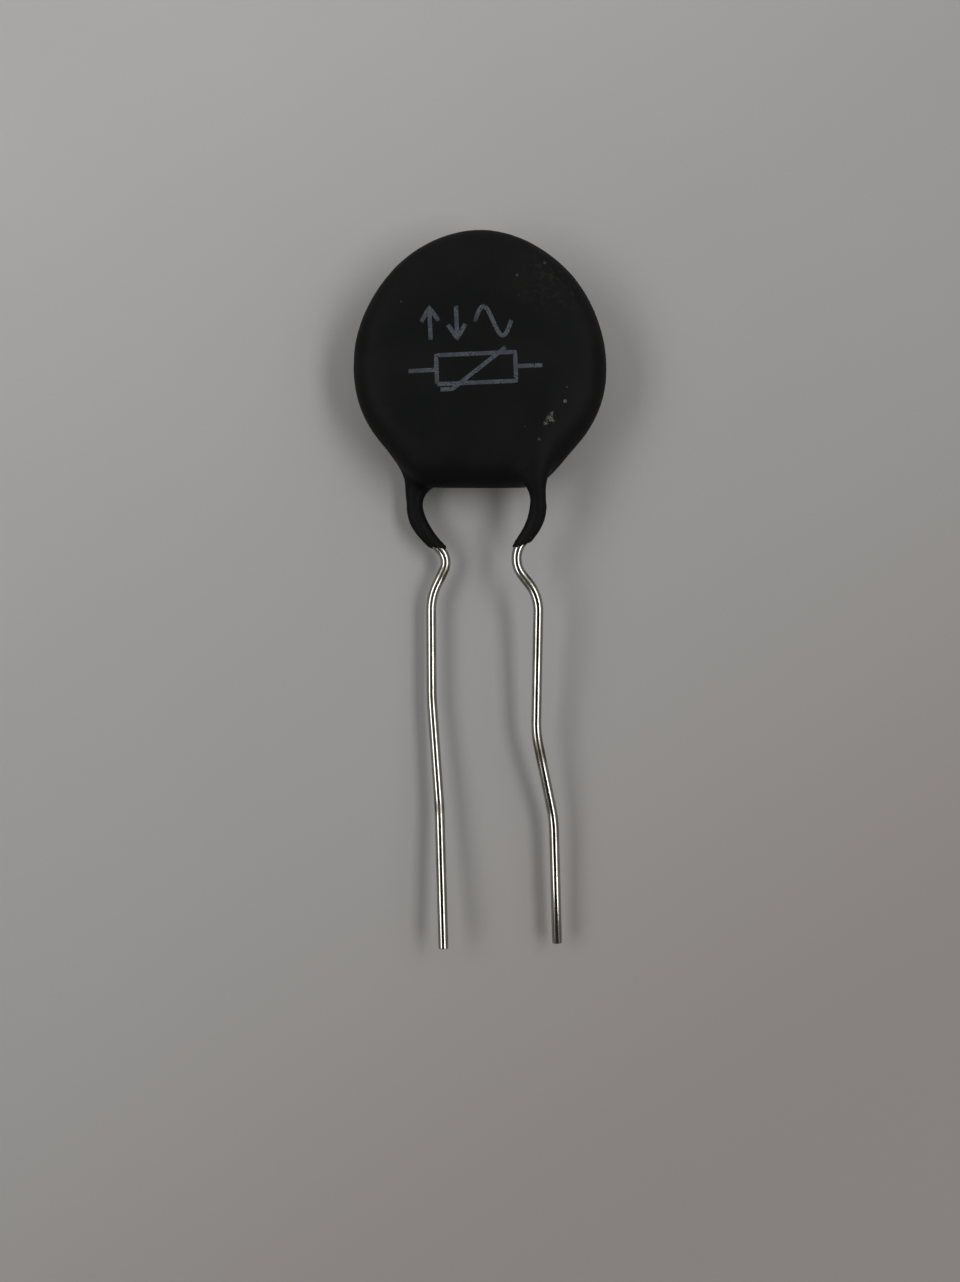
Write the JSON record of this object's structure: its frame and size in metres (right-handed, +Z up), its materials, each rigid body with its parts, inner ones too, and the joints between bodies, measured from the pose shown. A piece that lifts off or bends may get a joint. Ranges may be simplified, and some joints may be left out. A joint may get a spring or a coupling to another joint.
{
  "type": "disc thermistor",
  "caption": "Resin-dipped ceramic disc thermistor that limits current on a circuit board, with kinked parallel wire leads.",
  "frame": {"origin": "on the resting plane under the disc's centre: the flat middle of the coat's back face", "axes": "+Z up out of the face that carries the mark, square to the disc; +Y away from the leads, so the leads run towards -Y; +X towards the front lead's side, as seen from above with the leads pointing down"},
  "size_m": [0.0172, 0.0485, 0.005],
  "materials": {
    "ceramic": "fired metal-oxide ceramic, dark grey and matte",
    "silver_film": "fired silver film, pale and satin",
    "solder": "tin solder, satin grey",
    "tinned_wire": "drawn copper wire with a bright tin plating, slightly dulled by handling",
    "resin": "dipped resin coat, near-black, low sheen with a faint orange-peel"
  },
  "bodies": {
    "root": {"ceramic_disc": "ceramic", "front_electrode": "silver_film", "back_electrode": "silver_film", "front_solder": "solder", "back_solder": "solder", "front_lead": "tinned_wire", "back_lead": "tinned_wire", "resin_coat": "resin"}
  },
  "joints": []
}
